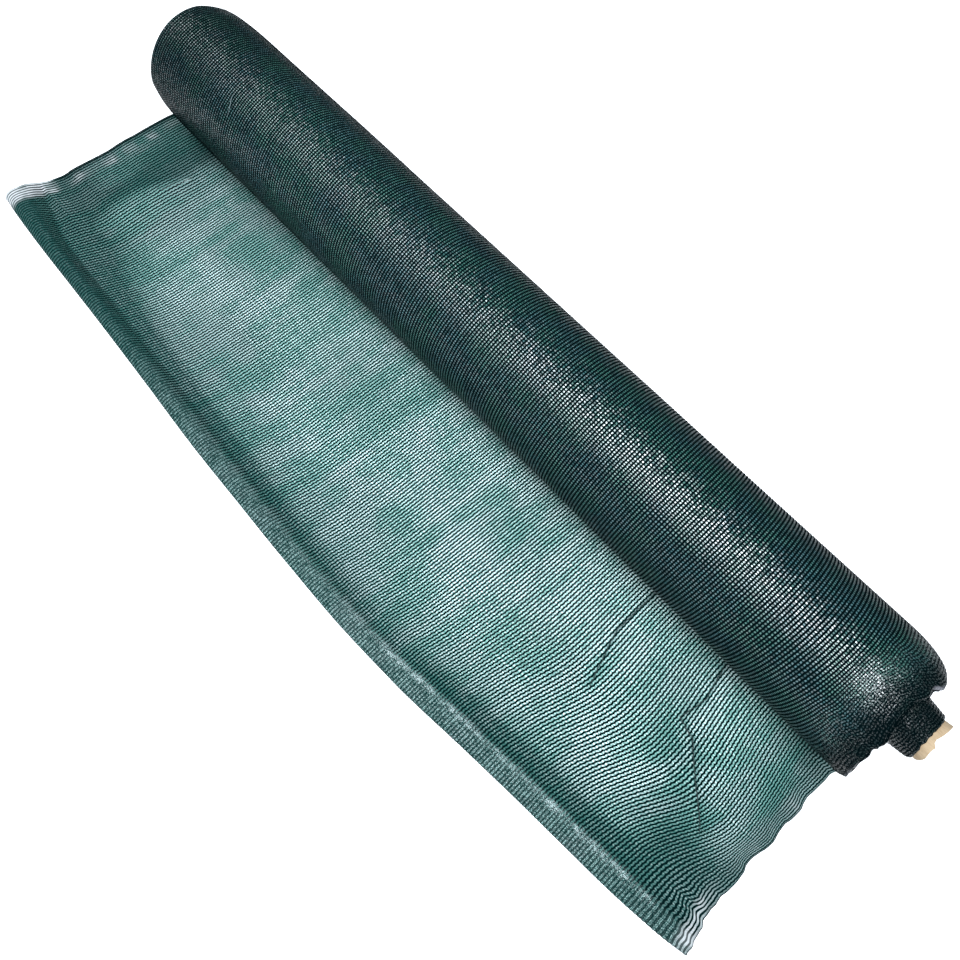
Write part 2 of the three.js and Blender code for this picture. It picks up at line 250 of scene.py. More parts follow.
class Nodes:
    # short ways to add a material's nodes and join them up

    def __init__(self, name):
        self.material = bpy.data.materials.new(name)
        self.material.use_nodes = True
        self.tree = self.material.node_tree
        self.tree.nodes.clear()
        self.output = self.tree.nodes.new("ShaderNodeOutputMaterial")

    def join(self, value, socket):
        if isinstance(value, bpy.types.NodeSocket):
            self.tree.links.new(value, socket)
        elif value is not None:
            socket.default_value = value

    def math(self, operation, a, b=None, c=None, clamp=False):
        node = self.tree.nodes.new("ShaderNodeMath")
        node.operation, node.use_clamp = operation, clamp
        for value, socket in zip((a, b, c), node.inputs):
            self.join(value, socket)
        return node.outputs[0]

    def times(self, a, b):
        return self.math("MULTIPLY", a, b)

    def plus(self, a, b, clamp=False):
        return self.math("ADD", a, b, clamp=clamp)

    def minus(self, a, b):
        return self.math("SUBTRACT", a, b)

    def scaled(self, value, share, start):
        return self.math("MULTIPLY_ADD", value, share, start)

    def rise(self, value, low, high, floor=0.0, top=1.0):
        node = self.tree.nodes.new("ShaderNodeMapRange")
        node.interpolation_type = "SMOOTHSTEP"
        for v, socket in zip((value, low, high, floor, top), node.inputs):
            self.join(v, socket)
        return node.outputs[0]

    def mix(self, share, a, b):
        node = self.tree.nodes.new("ShaderNodeMix")
        node.data_type = "RGBA"
        self.join(share, node.inputs[0])
        self.join(a, node.inputs[6])
        self.join(b, node.inputs[7])
        return node.outputs[2]

    def place(self, source="Object", scale=(1, 1, 1), turn=(0, 0, 0)):
        if source == "Object":
            start = self.tree.nodes.new("ShaderNodeTexCoord").outputs["Object"]
        else:
            node = self.tree.nodes.new("ShaderNodeUVMap")
            node.uv_map = source
            start = node.outputs[0]
        mapping = self.tree.nodes.new("ShaderNodeMapping")
        mapping.inputs["Scale"].default_value = scale
        mapping.inputs["Rotation"].default_value = turn
        self.join(start, mapping.inputs["Vector"])
        return mapping.outputs[0]

    def noise(self, vector, scale, detail=2.0, roughness=0.5):
        node = self.tree.nodes.new("ShaderNodeTexNoise")
        self.join(vector, node.inputs["Vector"])
        node.inputs["Scale"].default_value = scale
        node.inputs["Detail"].default_value = detail
        node.inputs["Roughness"].default_value = roughness
        return node.outputs["Fac"]

    def random(self, a, b):
        vector = self.tree.nodes.new("ShaderNodeCombineXYZ")
        self.join(a, vector.inputs[0])
        self.join(b, vector.inputs[1])
        node = self.tree.nodes.new("ShaderNodeTexWhiteNoise")
        node.noise_dimensions = "2D"
        self.join(vector.outputs[0], node.inputs["Vector"])
        split = self.tree.nodes.new("ShaderNodeSeparateColor")
        self.join(node.outputs["Color"], split.inputs[0])
        return split.outputs

    def attribute(self, name):
        node = self.tree.nodes.new("ShaderNodeAttribute")
        node.attribute_name = name
        return node.outputs["Fac"]

    def bump(self, height, strength, distance):
        node = self.tree.nodes.new("ShaderNodeBump")
        node.inputs["Strength"].default_value = strength
        node.inputs["Distance"].default_value = distance
        self.join(height, node.inputs["Height"])
        return node.outputs[0]

    def principled(self, colour, roughness, normal=None, **fixed):
        node = self.tree.nodes.new("ShaderNodeBsdfPrincipled")
        self.join(colour, node.inputs["Base Color"])
        self.join(roughness, node.inputs["Roughness"])
        self.join(normal, node.inputs["Normal"])
        for name, value in fixed.items():
            node.inputs[name.replace("_", " ")].default_value = value
        return node.outputs[0]

    def finish(self, shader):
        self.join(shader, self.output.inputs["Surface"])
        return self.material


def knitPattern(n, wales, stitches, zigzag, worn=None, chainEdge=0.21):
    # chains at whole numbers of u that zigzag alike over two stitches, and a flat tape in each gap between
    split = n.tree.nodes.new("ShaderNodeSeparateXYZ")
    n.join(n.place("OFBake", (wales, stitches, 1)), split.inputs[0])
    u, v = split.outputs[0], split.outputs[1]
    drift = n.noise(n.place("OFBake", (wales * 0.22, stitches * 0.04, 1)), 1.0, 1.0)
    v = n.plus(v, n.scaled(n.noise(n.place("OFBake", (5, 9, 1)), 1.0, 2.0), 5.0, -2.5))
    swing = n.minus(n.math("PINGPONG", v, 1.0), 0.5)
    u = n.plus(u, n.times(swing, zigzag))
    u = n.plus(u, n.scaled(drift, 0.16, -0.08))
    if worn:
        # where the cloth is crumpled the stitches lie all ways
        fine = n.noise(n.place("OFBake", (wales * 0.9, stitches * 0.7, 1)), 1.0, 2.0)
        u = n.plus(u, n.times(n.minus(fine, 0.5), n.times(worn, 1.3)))
    gap = n.math("FLOOR", u)
    within = n.minus(u, gap)
    column = n.random(gap, 3.5)
    v = n.plus(v, n.times(column[0], 0.16))
    loop = n.math("FLOOR", v)
    along = n.minus(v, loop)
    chance = n.random(gap, loop)
    fromMiddle = n.math("ABSOLUTE", n.minus(within, 0.5))
    fromHalf = n.math("ABSOLUTE", n.minus(along, 0.5))
    return {
        "chain": n.rise(fromMiddle, chainEdge, chainEdge + 0.06),
        "fine": n.noise(n.place("OFBake", (wales * 3.4, stitches * 2.6, 1)), 1.0, 1.0),
        "tape": n.rise(fromMiddle, 0.28, 0.14),
        "dash": n.rise(fromHalf, 0.44, 0.16),
        "thread": n.rise(fromMiddle, 0.23, 0.31),
        "dot": n.rise(fromHalf, 0.38, 0.14),
        "middle": n.rise(fromMiddle, 0.14, 0.04),
        "chance": chance,
        "tilt": n.plus(
            n.times(n.minus(within, 0.5), n.scaled(chance[1], 2.0, -1.0)),
            n.times(n.minus(along, 0.5), n.scaled(chance[2], 2.0, -1.0)),
        ),
        "round": n.times(fromMiddle, fromMiddle),
    }


looseKnitSet = {
    "chain": (0.0005, 0.006, 0.006, 1),
    "green": (0.31, 0.60, 0.55, 1),
    "pale": (0.48, 0.65, 0.65, 1),
    "shade": (0.018, 0.105, 0.09, 1),
    "deep": (0.004, 0.036, 0.032, 1),
    "bare": (0.34, 0.36, 0.37, 1),
    "doubled": (0.003, 0.020, 0.020, 1),
    "glint": (0.25, 0.39, 0.375, 1),
    "frayedHighlight": (0.36, 0.44, 0.44, 1),
    "tint": (0.86, 0.96, 0.95, 1),
    "bareTint": (0.88, 0.92, 0.91, 1),
    "roughness": 0.38,
    "zigzag": 0.24,
    "holeCover": 0.16,
    "crossingCover": 0.90,
    "chainEdge": 0.195,
}


def looseKnitMaterial(s, stitches):
    n = Nodes("looseKnit")
    gathered, opened, shaded = n.attribute("gathered"), n.attribute("open"), n.attribute("shaded")
    folded, frayedHighlight = n.attribute("folded"), n.attribute("frayedHighlight")
    swing = n.times(n.minus(1.0, n.math("MAXIMUM", opened, folded)), s["zigzag"])
    p = knitPattern(n, knit["wales"], stitches, swing, chainEdge=s["chainEdge"])
    grain = n.rise(p["fine"], 0.36, 0.64)
    broad = n.noise(n.place("Object", (1, 1.6, 1)), 9.0, 3.0)
    stripes = n.noise(n.place("OFBake", (46, 2.4, 1)), 1.0, 2.0)
    tone = n.plus(n.times(broad, 0.9), n.times(stripes, 0.9))
    tone = n.plus(tone, n.times(p["chance"][0], 0.45))
    tone = n.plus(tone, n.times(grain, 0.55))
    tone = n.rise(tone, 0.85, 1.90)
    tape = n.mix(n.rise(n.plus(broad, stripes), 0.85, 1.15), s["green"], s["pale"])
    blotch = n.rise(n.noise(n.place("Object", (1, 1, 1)), 46.0, 2.0), 0.40, 0.62)
    opened = n.times(opened, n.scaled(blotch, 0.6, 0.4))
    # each gap has a hole at every stitch, between the places where the tape crosses it
    hole = n.times(p["dash"], n.scaled(tone, 0.75, 0.25))
    cover = n.scaled(hole, s["holeCover"] - s["crossingCover"], s["crossingCover"])
    cover = n.plus(cover, n.plus(gathered, n.times(shaded, 0.45)))
    cover = n.math("MAXIMUM", cover, n.times(opened, 0.70))
    # a bare wale is only a thin thread
    chain = n.times(p["chain"], n.rise(opened, 0.8, 0.3))
    chain = n.math("MAXIMUM", chain, p["thread"])
    cover = n.math("MAXIMUM", cover, n.times(chain, 0.99))
    cover = n.math("MAXIMUM", cover, n.times(folded, 0.95), clamp=True)
    lit = n.times(n.scaled(p["dash"], 0.7, 0.3), n.scaled(tone, 0.7, 0.3))
    colour = n.mix(lit, s["shade"], tape)
    # painted shade: shaded darkens the colour towards deep, and it also covers more of the holes
    colour = n.mix(n.times(shaded, 0.85), colour, s["deep"])
    # where the net lies double the chains of both layers show, and stray stitches glint between them
    glint = n.plus(n.times(p["chance"][1], 0.12), n.scaled(frayedHighlight, 0.06, p["fine"]))
    double = n.mix(n.rise(glint, 0.54, 0.68), s["doubled"], s["glint"])
    double = n.mix(n.times(p["middle"], 0.85), double, s["chain"])
    double = n.mix(n.times(shaded, 0.8), double, s["deep"])
    colour = n.mix(n.times(folded, 0.9), colour, double)
    colour = n.mix(opened, colour, s["bare"])
    colour = n.mix(n.times(chain, n.scaled(folded, -0.15, 1.0)), colour, s["chain"])
    # painted highlight: the frayed stitches are painted a light grey where they would catch the light
    strayHighlight = n.times(n.times(frayedHighlight, n.scaled(blotch, 0.7, 0.3)), n.rise(glint, 0.58, 0.74))
    colour = n.mix(strayHighlight, colour, s["frayedHighlight"])
    colour = n.mix(gathered, colour, s["chain"])
    height = n.plus(n.times(p["tilt"], 0.6), n.times(p["round"], 1.2))
    shader = n.principled(colour, s["roughness"], n.bump(height, 0.6, 0.0012))
    shine = n.times(n.times(p["tape"], p["dash"]), 0.8)
    shine = n.times(shine, n.scaled(shaded, -0.6, 1.0))
    shine = n.times(shine, n.scaled(folded, -0.7, 1.0))
    n.join(shine, shader.node.inputs["Specular IOR Level"])
    clear = n.tree.nodes.new("ShaderNodeBsdfTransparent")
    n.join(n.mix(opened, s["tint"], s["bareTint"]), clear.inputs[0])
    blend = n.tree.nodes.new("ShaderNodeMixShader")
    n.join(cover, blend.inputs[0])
    n.join(clear.outputs[0], blend.inputs[1])
    n.join(shader, blend.inputs[2])
    return n.finish(blend.outputs[0])


woundKnitSet = {
    "gap": (0.001, 0.008, 0.009, 1),
    "blue": (0.030, 0.080, 0.090, 1),
    "green": (0.022, 0.086, 0.068, 1),
    "chain": (0.0004, 0.002, 0.0025, 1),
    "glintSpeck": (0.20, 0.26, 0.27, 1),
    "pale": (0.15, 0.15, 0.17, 1),
    "roughness": 0.36,
    "zigzag": 0.12,
}


def woundKnitMaterial(name, s, wales, stitches):
    n = Nodes(name)
    shaded, worn, dull = n.attribute("shaded"), n.attribute("worn"), n.attribute("dull")
    p = knitPattern(n, wales, stitches, s["zigzag"], worn, chainEdge=0.23)
    hue = n.noise(n.place("Object", (1, 1, 1)), 22.0, 3.0, 0.6)
    grain = n.rise(p["fine"], 0.38, 0.62)
    # where the cloth is crumpled only scattered stitches catch the light, and their colour is also a painted
    # highlight
    glintSpeck = n.noise(n.place("OFBake", (wales * 2.6, stitches * 1.7, 1)), 1.0, 1.0)
    glintSpeck = n.times(worn, n.rise(n.scaled(hue, 0.30, glintSpeck), 0.72, 0.86))
    dash = n.times(p["tape"], p["dot"])
    dash = n.times(dash, n.scaled(grain, 0.8, 0.42))
    dash = n.times(dash, n.scaled(worn, -0.55, 1.0))
    dash = n.plus(dash, glintSpeck, clamp=True)
    lit = n.times(dash, n.rise(n.plus(p["chance"][0], hue), 0.35, 1.5, 0.30, 1.7))
    colour = n.mix(lit, s["gap"], n.mix(n.rise(hue, 0.38, 0.62), s["blue"], s["green"]))
    colour = n.mix(n.times(p["chain"], n.scaled(worn, -0.4, 1.0)), colour, s["chain"])
    colour = n.mix(n.times(glintSpeck, 0.14), colour, s["glintSpeck"])
    # painted shade: shaded darkens the colour towards the chains' near black
    colour = n.mix(n.times(shaded, 0.90), colour, s["chain"])
    colour = n.mix(n.attribute("pale"), colour, s["pale"])
    height = n.plus(p["tilt"], n.times(p["round"], 1.2))
    height = n.plus(height, n.times(p["fine"], 0.8))
    rough = n.scaled(p["chance"][1], 0.16, s["roughness"] - 0.08)
    shader = n.principled(colour, rough, n.bump(height, 0.34, 0.0012))
    # only the flat of the tape shines, and some stitches more than others
    shine = n.times(dash, n.scaled(p["chance"][2], 1.7, 0.80))
    shine = n.times(shine, n.scaled(worn, 0.4, 1.0))
    shine = n.times(shine, n.scaled(shaded, -0.50, 1.0))
    shine = n.times(shine, n.minus(1.0, dull))
    n.join(shine, shader.node.inputs["Specular IOR Level"])
    return n.finish(shader)


cardboardSet = {
    "pale": (0.31, 0.235, 0.15, 1),
    "deep": (0.22, 0.155, 0.09, 1),
    "roughness": 0.85,
}


def cardboardMaterial(s):
    n = Nodes("cardboard")
    fibre = n.noise(n.place("Object", (60, 900, 900)), 1.0, 4.0, 0.65)
    patch = n.noise(n.place("Object", (1, 1, 1)), 60.0, 3.0)
    share = n.plus(n.times(fibre, 0.5), n.times(patch, 0.6))
    colour = n.mix(n.rise(share, 0.35, 0.75), s["deep"], s["pale"])
    shader = n.principled(colour, s["roughness"], n.bump(fibre, 0.35, 0.0006), Specular_IOR_Level=0.25)
    return n.finish(shader)


def rollRadiusAt(angle):
    angle = np.mod(angle, 360)
    flat = math.degrees(math.atan(rollSet["flatHalfWidth"] / axisHeight))
    barrel = rollSet["radius"] + rollSet["turnStep"] * (0.5 - angle / 360)
    nearFloor = np.minimum(angle, 360 - angle)
    onFlat = axisHeight / np.cos(np.radians(nearFloor))
    return np.where((angle <= flat) | (angle >= 360 - flat), onFlat, barrel)


def swellOnRoll(x, angle):
    total = 0
    for place, middle, reach, turn, height in rollSwells:
        total = total + height * hump(x - place, reach) * hump(angle - middle, turn)
    return total * ease(np.minimum(angle, 360 - angle), 20, 60)


def rollAngles():
    flat = math.degrees(math.atan(rollSet["flatHalfWidth"] / axisHeight))
    stepAngle = 360 - math.degrees(
        math.asin((rollSet["flatHalfWidth"] + 0.3) / (rollSet["radius"] - rollSet["turnStep"] / 2))
    )
    turn = np.linspace(flat, stepAngle, rollSet["rows"])
    return np.concatenate(([360 - flat * 0.98, 360 - flat / 2, 0, flat / 2], turn))


def meridians(angles):
    # each row runs along the roll, from the far rim over the barrel to the near rim: place along and radius
    far = readTable(farRim, "angle", angles, 360)
    near = readTable(nearRim, "angle", angles, 360)
    body = rollRadiusAt(angles)
    turn = np.radians(np.linspace(0, 90, rollSet["shoulderPoints"]))
    x, r = [], []
    for t in turn[:-1]:
        x.append(rollSet["farFace"] + far["length"] * (1 - math.cos(t)))
        r.append(far["radius"] + (body - far["radius"]) * math.sin(t))
    farEnd = rollSet["farFace"] + far["length"]
    for share in np.linspace(0, 1, rollSet["barrelPoints"]):
        place = farEnd + (near["start"] - farEnd) * share
        x.append(place)
        r.append(body + swellOnRoll(place, angles))
    for t in turn[1:]:
        x.append(near["start"] + (near["end"] - near["start"]) * math.sin(t))
        r.append(near["radius"] + (body - near["radius"]) * math.cos(t))
    return np.stack((x, r), axis=-1).transpose(1, 0, 2)


def evenWales(lines, places, reach=100.0):
    # the wales keep their own spacing along each line of the roll, and only those near an end are stretched
    out = np.empty((len(lines), len(places), 2))
    farShare, nearShare = ease(places, 0, reach), ease(places, knit["width"] - reach, knit["width"])
    for i, line in enumerate(lines):
        length = np.concatenate(([0], np.cumsum(np.linalg.norm(np.diff(line, axis=0), axis=1))))
        far = np.interp(rollSet["farFace"] + reach, line[:, 0], length) - reach
        near = length[-1] - np.interp(-rollSet["farFace"] - reach, line[:, 0], length) - reach
        at = places + far * farShare + near * nearShare
        for k in range(2):
            out[i, :, k] = np.interp(at, length, line[:, k])
    return out


# The roll's painted shade, shaded: its far end, its back turned away from the lamps and its near shoulder are
# darkened in colour.
rollLooks = {
    # angles between which a look sets in
    "behind": (130, 176),
    "lowFront": (222, 262),
    "underShoulder": (232, 250),
    # how much, and the places along the roll between which it fades
    "farShade": (0.7, -640, -300),
    "farWorn": (0.35, -594, -565),
    "farDull": (0.7, -600, -420),
    "behindDull": (0.95, -600, -560),
    # the same, with places measured from the near rim
    "shoulder": (0.97, -46, -12),
    "crumpled": (0.9, -66, -22),
    "rimDull": (0.5, -9, -1),
    "shoulderDull": (0.6, -60, -20),
    "paleEdge": (0.7, -1.9, -0.9),
    # the pale stretches of the rim: how much, angle, reach
    "paleStretches": ((1.0, 171, 12), (0.8, 272, 14)),
    "behindShade": 0.95,
    "mostDull": 0.9,
}


def dressRoll(piece, x, angles, rim, s):
    fromRim = x - rim
    behind = 1 - ease(angles, *s["behind"])
    shaded = np.maximum(fadeOut(x, *s["farShade"]), s["behindShade"] * behind)
    shaded = np.maximum(shaded, fadeIn(fromRim, *s["shoulder"]))
    worn = np.maximum(fadeIn(fromRim, *s["crumpled"]), fadeOut(x, *s["farWorn"]))
    dull = behind * fadeIn(x, *s["behindDull"]) + fadeIn(fromRim, *s["rimDull"])
    dull = dull + ease(angles, *s["underShoulder"]) * fadeIn(fromRim, *s["shoulderDull"])
    dull = dull + ease(angles, *s["lowFront"]) * fadeOut(x, *s["farDull"])
    pale = sum(band(angles, *stretch) for stretch in s["paleStretches"])
    addAttribute(piece, "shaded", shaded)
    addAttribute(piece, "worn", worn)
    addAttribute(piece, "dull", np.clip(dull, 0, s["mostDull"]))
    addAttribute(piece, "pale", pale * fadeIn(fromRim, *s["paleEdge"]))


def buildRoll():
    angles = rollAngles()
    columns = 2 * knit["wales"] + 1
    shares = np.linspace(0, 1, columns)
    lines = evenWales(meridians(angles), shares * knit["width"])
    x, r = lines[..., 0], lines[..., 1]
    teeth = np.interp(np.mod(angles, 360), rimTeeth["angle"], rimTeeth["out"])[:, None]
    x = x + fadeIn(x, teeth, *rimTeeth["reach"])
    a = np.radians(angles)[:, None]
    points = np.stack((x, r * np.sin(a), axisHeight - r * np.cos(a)), axis=-1)
    normal = gridNormals(points, closed=True)
    outward = np.stack((0 * x, np.sin(a) + 0 * x, -np.cos(a) + 0 * x), axis=-1)
    normal *= np.sign((normal * outward).sum(axis=2, keepdims=True))
    lift = ribs(shares * knit["wales"])[None, :] * ease(points[..., 2], 0.5, 4)
    points = points + normal * lift[..., None]
    points[..., 2] = np.maximum(points[..., 2], 0)
    piece = gridPiece("woundNet", points, closed=True)
    rim = readTable(nearRim, "angle", angles, 360)["end"][:, None]
    dressRoll(piece, x, angles[:, None], rim, rollLooks)
    return piece


roll = buildRoll()
roll.data.materials.append(woundKnitMaterial("woundKnit", woundKnitSet, knit["wales"], rollSet["stitches"]))
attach(roll, "root")
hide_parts("wound_net")
print("roll made")

# The selvedges of the wound turns show at both ends, each a little further out or in than the next. At the
# near end the inner turns have slid out as a collar, and they have left a hollow as deep at the far end.
endSet = {
    "root": 587.0,
    "rootRadius": 33.0,
    "turns": 11,
    "steps": 120,         # round each turn
    "edge": 2.4,          # how far a turn's edge stands out
    "ragged": 0.7,
    "uneven": 1.0,
    "mouth": 4.0,         # how far in the far end's turns go
    "hollowRows": 120,
    "hollowDepth": 34.0,
    "hollowRadius": 34.0,
    "bore": 25.3,
}
turnLooks = {"dull": 0.2, "worn": 0.7}
collarSet = {
    "rows": 160,
    "rootRadius": 34.0,
    "waistRadius": 32.6,
    "endRadius": 29.3,
    "wales": 12,
}
chance = np.random.default_rng(7)


def unevenness(count, window, closed=False):
    # a soft random line with a spread of about one
    line = chance.normal(size=count)
    shape = np.hanning(window + 2)[1:-1]
    if closed:
        padded = np.concatenate((line[-window:], line, line[:window]))
    else:
        padded = np.pad(line, window, "reflect")
    line = np.convolve(padded, shape, "same")[window:-window]
    return line / line.std()


def onAxis(x, r, angles, share):
    # a place round the roll's own axis, or by its share round the tube's, which lies a little off it
    a = np.radians(angles)
    y, z = tubeAxis["y"] * share, axisHeight + (tubeAxis["z"] - axisHeight) * share
    return np.stack((x + 0 * a, y + r * np.sin(a), z - r * np.cos(a)), axis=-1)


def buildTurns(name, outer, inner, outward, s):
    # one long spiral of turns from the rim inwards, ridged like the edges of a rolled cloth
    count = s["turns"] * s["steps"] + 1
    share = np.linspace(0, 1, count)
    angles = 360 * s["turns"] * share
    outerX, outerR = outer(angles)
    innerX, innerR = inner(angles)
    ragged = s["ragged"] * unevenness(count, 7) + s["uneven"] * unevenness(count, 150)
    columns = []
    for across, out in ((-0.5, -0.2), (-0.28, 0.45), (-0.1, 1), (0.1, 1), (0.28, 0.45), (0.5, -0.2)):
        t = np.clip(share + across / s["turns"], 0, 1)
        x = outerX + (innerX - outerX) * t
        r = outerR + (innerR - outerR) * t
        rise = (out * s["edge"] + ragged * max(out, 0)) * ease(share, 0, 0.02)
        columns.append(onAxis(x + outward * (rise - s["edge"] * 0.6), r, angles, t))
    return gridPiece(name, np.stack(columns, axis=1), flip=outward > 0)


def nearRimAt(angles):
    rim = readTable(nearRim, "angle", angles, 360)
    return rim["end"], rim["radius"]


def nearRootAt(angles):
    return np.full_like(angles, endSet["root"]), np.full_like(angles, endSet["rootRadius"])


def farRimAt(angles):
    rim = readTable(farRim, "angle", angles, 360)
    return np.full_like(angles, rollSet["farFace"]), rim["radius"]


def farMouthAt(angles):
    mouth = rollSet["farFace"] + endSet["mouth"]
    return np.full_like(angles, mouth), np.full_like(angles, endSet["hollowRadius"])


# The end pieces are darkened all over with painted shade, by the share given as shaded.
def dressTurns(piece, wales, stitches, shaded):
    count = len(piece.data.vertices)
    addAttribute(piece, "shaded", np.full(count, shaded))
    addAttribute(piece, "dull", np.full(count, turnLooks["dull"]))
    addAttribute(piece, "worn", np.full(count, turnLooks["worn"]))
    piece.data.materials.append(woundKnitMaterial(piece.name + "Knit", woundKnitSet, wales, stitches))
    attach(piece, "root")


nearTurns = buildTurns("nearTurns", nearRimAt, nearRootAt, 1, endSet)
dressTurns(nearTurns, 3, 1500, 0.95)
farTurns = buildTurns("farTurns", farRimAt, farMouthAt, -1, endSet)
dressTurns(farTurns, 3, 1500, 0.7)


def buildCollar(s):
    angles = np.linspace(0, 360, s["rows"], endpoint=False)
    end = readTable(collarEdge, "angle", angles, 360)["end"] + 0.5 * unevenness(s["rows"], 9, True)
    second = end + 0.2 + 0.4 * unevenness(s["rows"], 7, True)
    lumps = 0.35 * unevenness(s["rows"], 21, True)
    root = endSet["root"] - 6
    columns = []
    for share in np.linspace(0, 1, 2 * s["wales"] + 1):
        x = root + (end - 1.6 - root) * share
        r = np.interp(share, (0, 0.12, 0.5, 1), (34.6, s["rootRadius"], s["waistRadius"], s["endRadius"]))
        columns.append((x, r + 0.35 * math.cos(2 * math.pi * s["wales"] * share) + lumps * (0.4 + share)))
    columns += [
        (end - 0.4, s["endRadius"] - 0.4 + lumps),
        (end, s["endRadius"] - 1.0 + lumps),
        (end - 0.6, s["endRadius"] - 1.5 + 0.6 * lumps),
        (end - 3.0, s["endRadius"] - 1.8 + 0.5 * lumps),
        (second - 1.0, s["endRadius"] - 2.0 + 0.4 * lumps),
        (second, s["endRadius"] - 2.5 + 0.2 * lumps),
        (second - 0.8, s["endRadius"] - 3.0),
        (end - 6.0, endSet["bore"] + 0.2),
    ]
    points = np.stack([onAxis(x, r, angles, 1.0) for x, r in columns], axis=1)
    return gridPiece("collar", points, closed=True, flip=True)


collar = buildCollar(collarSet)
dressTurns(collar, 18, 70, 1.0)


def buildHollow(s):
    angles = np.linspace(0, 360, s["hollowRows"], endpoint=False)
    mouth, floor = rollSet["farFace"] + s["mouth"], rollSet["farFace"] + s["hollowDepth"]
    columns = [
        (mouth - 1.0, s["hollowRadius"] + 0.8),
        (mouth - 1.2, s["hollowRadius"]),
        (mouth + 2, s["hollowRadius"] - 0.6),
        (mouth + 10, s["hollowRadius"] - 0.2),
        (floor - 8, s["hollowRadius"] - 1.2),
        (floor - 2, s["hollowRadius"] - 2.0),
        (floor - 0.5, s["hollowRadius"] - 4.0),
        (floor + 1.5, s["bore"] + 3.0),
        (floor, s["bore"] + 1.6),
        (floor + 3, s["bore"] + 0.2),
    ]
    waves = [0.4 * unevenness(s["hollowRows"], 15, True) for _ in columns]
    points = np.stack([onAxis(x + w, r, angles, 1.0) for (x, r), w in zip(columns, waves)], axis=1)
    return gridPiece("hollow", points, closed=True)


hollow = buildHollow(endSet)
dressTurns(hollow, 12, 66, 0.8)
print("ends made")

looseSet = {
    "start": -12.6,
    "rows": 112,
    "fieldPoints": 90,
    "cornerSteps": 16,
    "lying": 0.75,        # the height of the net's middle where it lies flat
    "lowest": 0.1,
    "selvedgeReach": 150.0,
    "waveReach": (4, 45),
    "spread": 0.040,      # how much wider the wales stand at the roll, but for those near a selvedge
    "pulledShare": 0.4,   # how much of a crease's width is pulled together
    "bendBand": (1.0, 20, 26),
}
farSelvedge = {
    "out": (12, 54, 94, 120, 134, 150, 166, 197, 222, 234, 243, 257, 265, 270, 278, 285, 296, 313, 320),
    "x": (
        -604, -629, -626, -623, -622, -620, -617, -615, -613, -610, -609, -609, -612, -614,
        -612, -611, -609, -611, -608,
    ),
    "lift": (0, 6.5, 6, 5.3, 5, 4.5, 4, 3.2, 2.9, 2.8, 3.2, 4, 3.4, 3, 2, 1.2, 0, 0, 0),
}
nearSelvedge = {
    "out": (
        12, 48, 58, 68, 75, 89, 97, 104, 113, 119, 131, 139, 151, 162, 174, 183, 194, 201, 209,
        222, 231, 238, 245, 254, 261, 268, 274, 280, 286, 296, 301, 307, 312,
    ),
    "x": (
        607, 619, 615.5, 614.8, 613.6, 611.6, 610.2, 610.6, 612.2, 611.6, 609.6, 607.0, 606.8,
        607.8, 605.6, 602.8, 600.2, 599.8, 601.8, 601.6, 600.4, 599.2, 597.4, 597.8, 596.2,
        596.8, 597.0, 600.4, 599.6, 599.2, 601.4, 601.0, 603,
    ),
    "lift": (
        0, 1.5, 0.6, 0.9, 1.1, 0.9, 0.6, 0.4, 0.4, 0.5, 0.9, 1.2, 1.4, 1.7, 1.8, 1.2, 0.7, 0.6,
        0.8, 1.1, 0.9, 0.7, 0.5, 1.2, 1.3, 1.2, 1.0, 1.0, 1, 1, 0.8, 0.4, 0,
    ),
}
# The near selvedge's long line, without its short waves, and the sharp little bends beside it.
nearLineSet = {"out": (12, 48, 312), "x": (609, 614, 597)}
nearBends = (
    # how far it bends, how far out, reach
    (3.4, 262, 9),
    (-2.6, 274, 8),
    (2.0, 287, 8),
    (-1.2, 226, 7),
)
freeFold = {
    "x": (-606, -560, -495, -375, -260, -153, -54, 38, 124, 202, 273, 341, 406, 470, 531, 606),
    "edge": (
        -319, -323, -327, -333, -340, -347, -351, -354, -355, -353, -348, -341, -336, -331,
        -326, -311,
    ),
    "groove": (
        -268, -280, -296, -303, -309, -314, -319, -322, -324, -321, -313, -307, -300, -296,
        -291, -283,
    ),
    "height": (16, 16, 15, 13, 12, 11, 10.5, 10, 10, 9.5, 9, 8, 7.5, 7, 6.5, 6),
}
foldSection = (
    # share of the fold's width in front of its groove, share of its height
    (0, 0),
    (0.22, 0.55),
    (0.5, 1),
    (0.8, 0.86),
    (0.98, 0.38),
    (0.9, 0),
    (0.36, 0),
)
netSwells = (
    # x, y, reach in x, reach in y, height
    (-500, -170, 70, 90, 4.5),
    (-360, -110, 90, 70, 3),
    (-250, -235, 110, 60, 3.5),
    (-90, -140, 90, 80, 2.5),
    (60, -250, 120, 55, 3.5),
    (180, -120, 80, 70, 3),
    (300, -215, 80, 65, 3.5),
    (405, -130, 45, 90, 4.5),
    (500, -215, 50, 60, 5),
    (545, -110, 40, 70, 4),
)
creases = (
    # points along a crease, its half-width, its height, how dark it is
    (((345, -51), (342, -120), (354, -162), (363, -192)), 4.0, 1.6, 0.8),
    (((457, -54), (465, -102), (456, -141), (480, -147), (510, -180), (543, -216)), 4.0, 2.0, 0.8),
    (((-510, -107), (-512, -153)), 4.0, 1.4, 0.0),
)

# How far the wales lean off the straight, at places over the net, as the change in x for a step towards
# the roll.
lean = {
    "from": -12,
    "to": -345,
    "step": 4.0,
    "x": (-600, -450, -200, 50, 300, 600),
    "y": (-320, -300, -280, -260, -230, -60),
    "share": (
        (0.00, 0.00, 0.00, 0.00, 0.00, 0.00),
        (0.35, 0.26, 0.22, 0.18, 0.25, 0.33),
        (0.35, 0.32, 0.16, 0.12, 0.21, 0.29),
        (0.20, 0.10, 0.06, 0.06, 0.15, 0.18),
        (-0.05, -0.09, -0.05, 0.00, 0.10, 0.10),
        (-0.14, -0.14, -0.08, -0.01, 0.07, 0.10),
    ),
}


